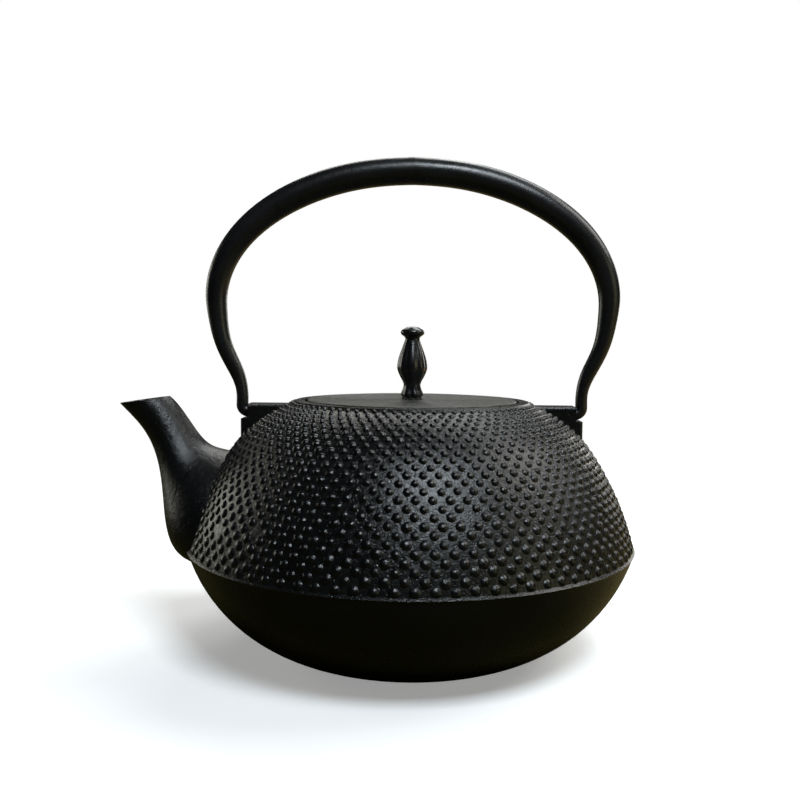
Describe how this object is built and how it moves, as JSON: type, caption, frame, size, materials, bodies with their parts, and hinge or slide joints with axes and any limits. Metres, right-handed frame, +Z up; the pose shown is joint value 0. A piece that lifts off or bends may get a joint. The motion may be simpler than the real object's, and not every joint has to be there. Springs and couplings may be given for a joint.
{
  "type": "cast iron teapot",
  "caption": "Wide flanged cast iron kettle with a hobnail belt, a fan-rooted spout, a swinging bail handle on two lugs, and an inset lift-off lid with a bud knob.",
  "frame": {"origin": "centre of the flat underside of the body, on the body's axis of revolution", "axes": "+Z up along the body's axis; the spout points to -X; +Y goes across the handle's plane, away from the viewer who sees the spout on the left"},
  "size_m": [0.2206, 0.19, 0.2096],
  "materials": {
    "body_iron": "satin black cast skin",
    "lid_iron": "satin, warm dark grey, lightly brushed",
    "knob_iron": "semi-gloss black",
    "handle_iron": "smooth satin black"
  },
  "bodies": {
    "kettle": {"kettle_body": "body_iron", "spout": "body_iron", "handle_lug_left": "body_iron", "handle_lug_right": "body_iron"},
    "lid": {"lid": "lid_iron", "knob_seat": "lid_iron", "lid_knob": "knob_iron", "knob_washer": "lid_iron"},
    "handle": {"handle": "handle_iron"}
  },
  "joints": [
    {"name": "lid_lift", "type": "slide", "parent": "kettle", "child": "lid", "axis": [0, 0, 1], "range_m": [0, 0.05]},
    {"name": "handle_swing", "type": "hinge", "parent": "kettle", "child": "handle", "pos_m": [0, 0, 0.101], "axis": [1, 0, 0], "range_deg": [-90, 90]}
  ]
}
